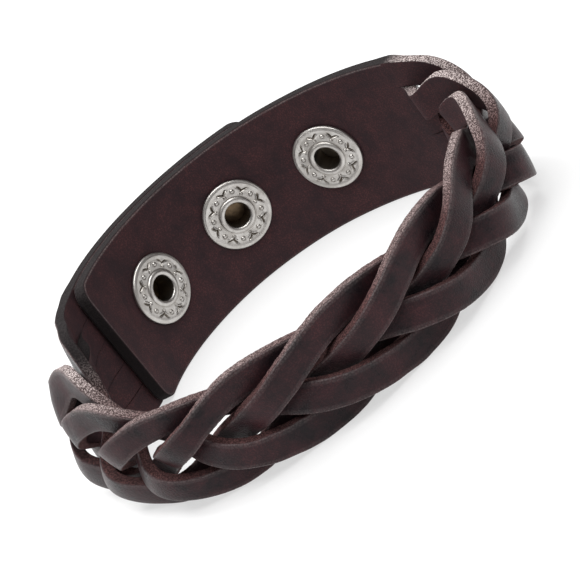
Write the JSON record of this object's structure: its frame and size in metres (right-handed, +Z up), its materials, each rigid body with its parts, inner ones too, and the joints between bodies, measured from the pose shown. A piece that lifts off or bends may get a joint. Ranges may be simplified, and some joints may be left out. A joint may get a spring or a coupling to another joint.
{
  "type": "braided leather bracelet",
  "caption": "Wide leather strap bracelet with a flat plaited body between two plain tabs that overlap in a snap closure.",
  "frame": {"origin": "middle of the bracelet's bounding box at its base, where it rests on its side", "axes": "+X along the longest way across the loop, +Y away from the plaited near side towards the closure, +Z up along the strap's width"},
  "size_m": [0.07, 0.0616, 0.02],
  "materials": {
    "leather": "dark brown vegetable tanned leather, smooth grain outside, mottled flesh side inside, raw cut edges",
    "snap_metal": "satin nickel plate"
  },
  "bodies": {
    "root": {"inner_tab": "leather", "outer_tab": "leather", "strand_1": "leather", "strand_2": "leather", "strand_3": "leather", "strand_4": "leather", "strand_5": "leather", "eyelet_1": "snap_metal", "eyelet_2": "snap_metal", "eyelet_3": "snap_metal", "stud_1": "snap_metal", "stud_2": "snap_metal", "stud_3": "snap_metal", "socket_1": "snap_metal", "socket_2": "snap_metal", "cap_1": "snap_metal", "cap_2": "snap_metal"}
  },
  "joints": []
}
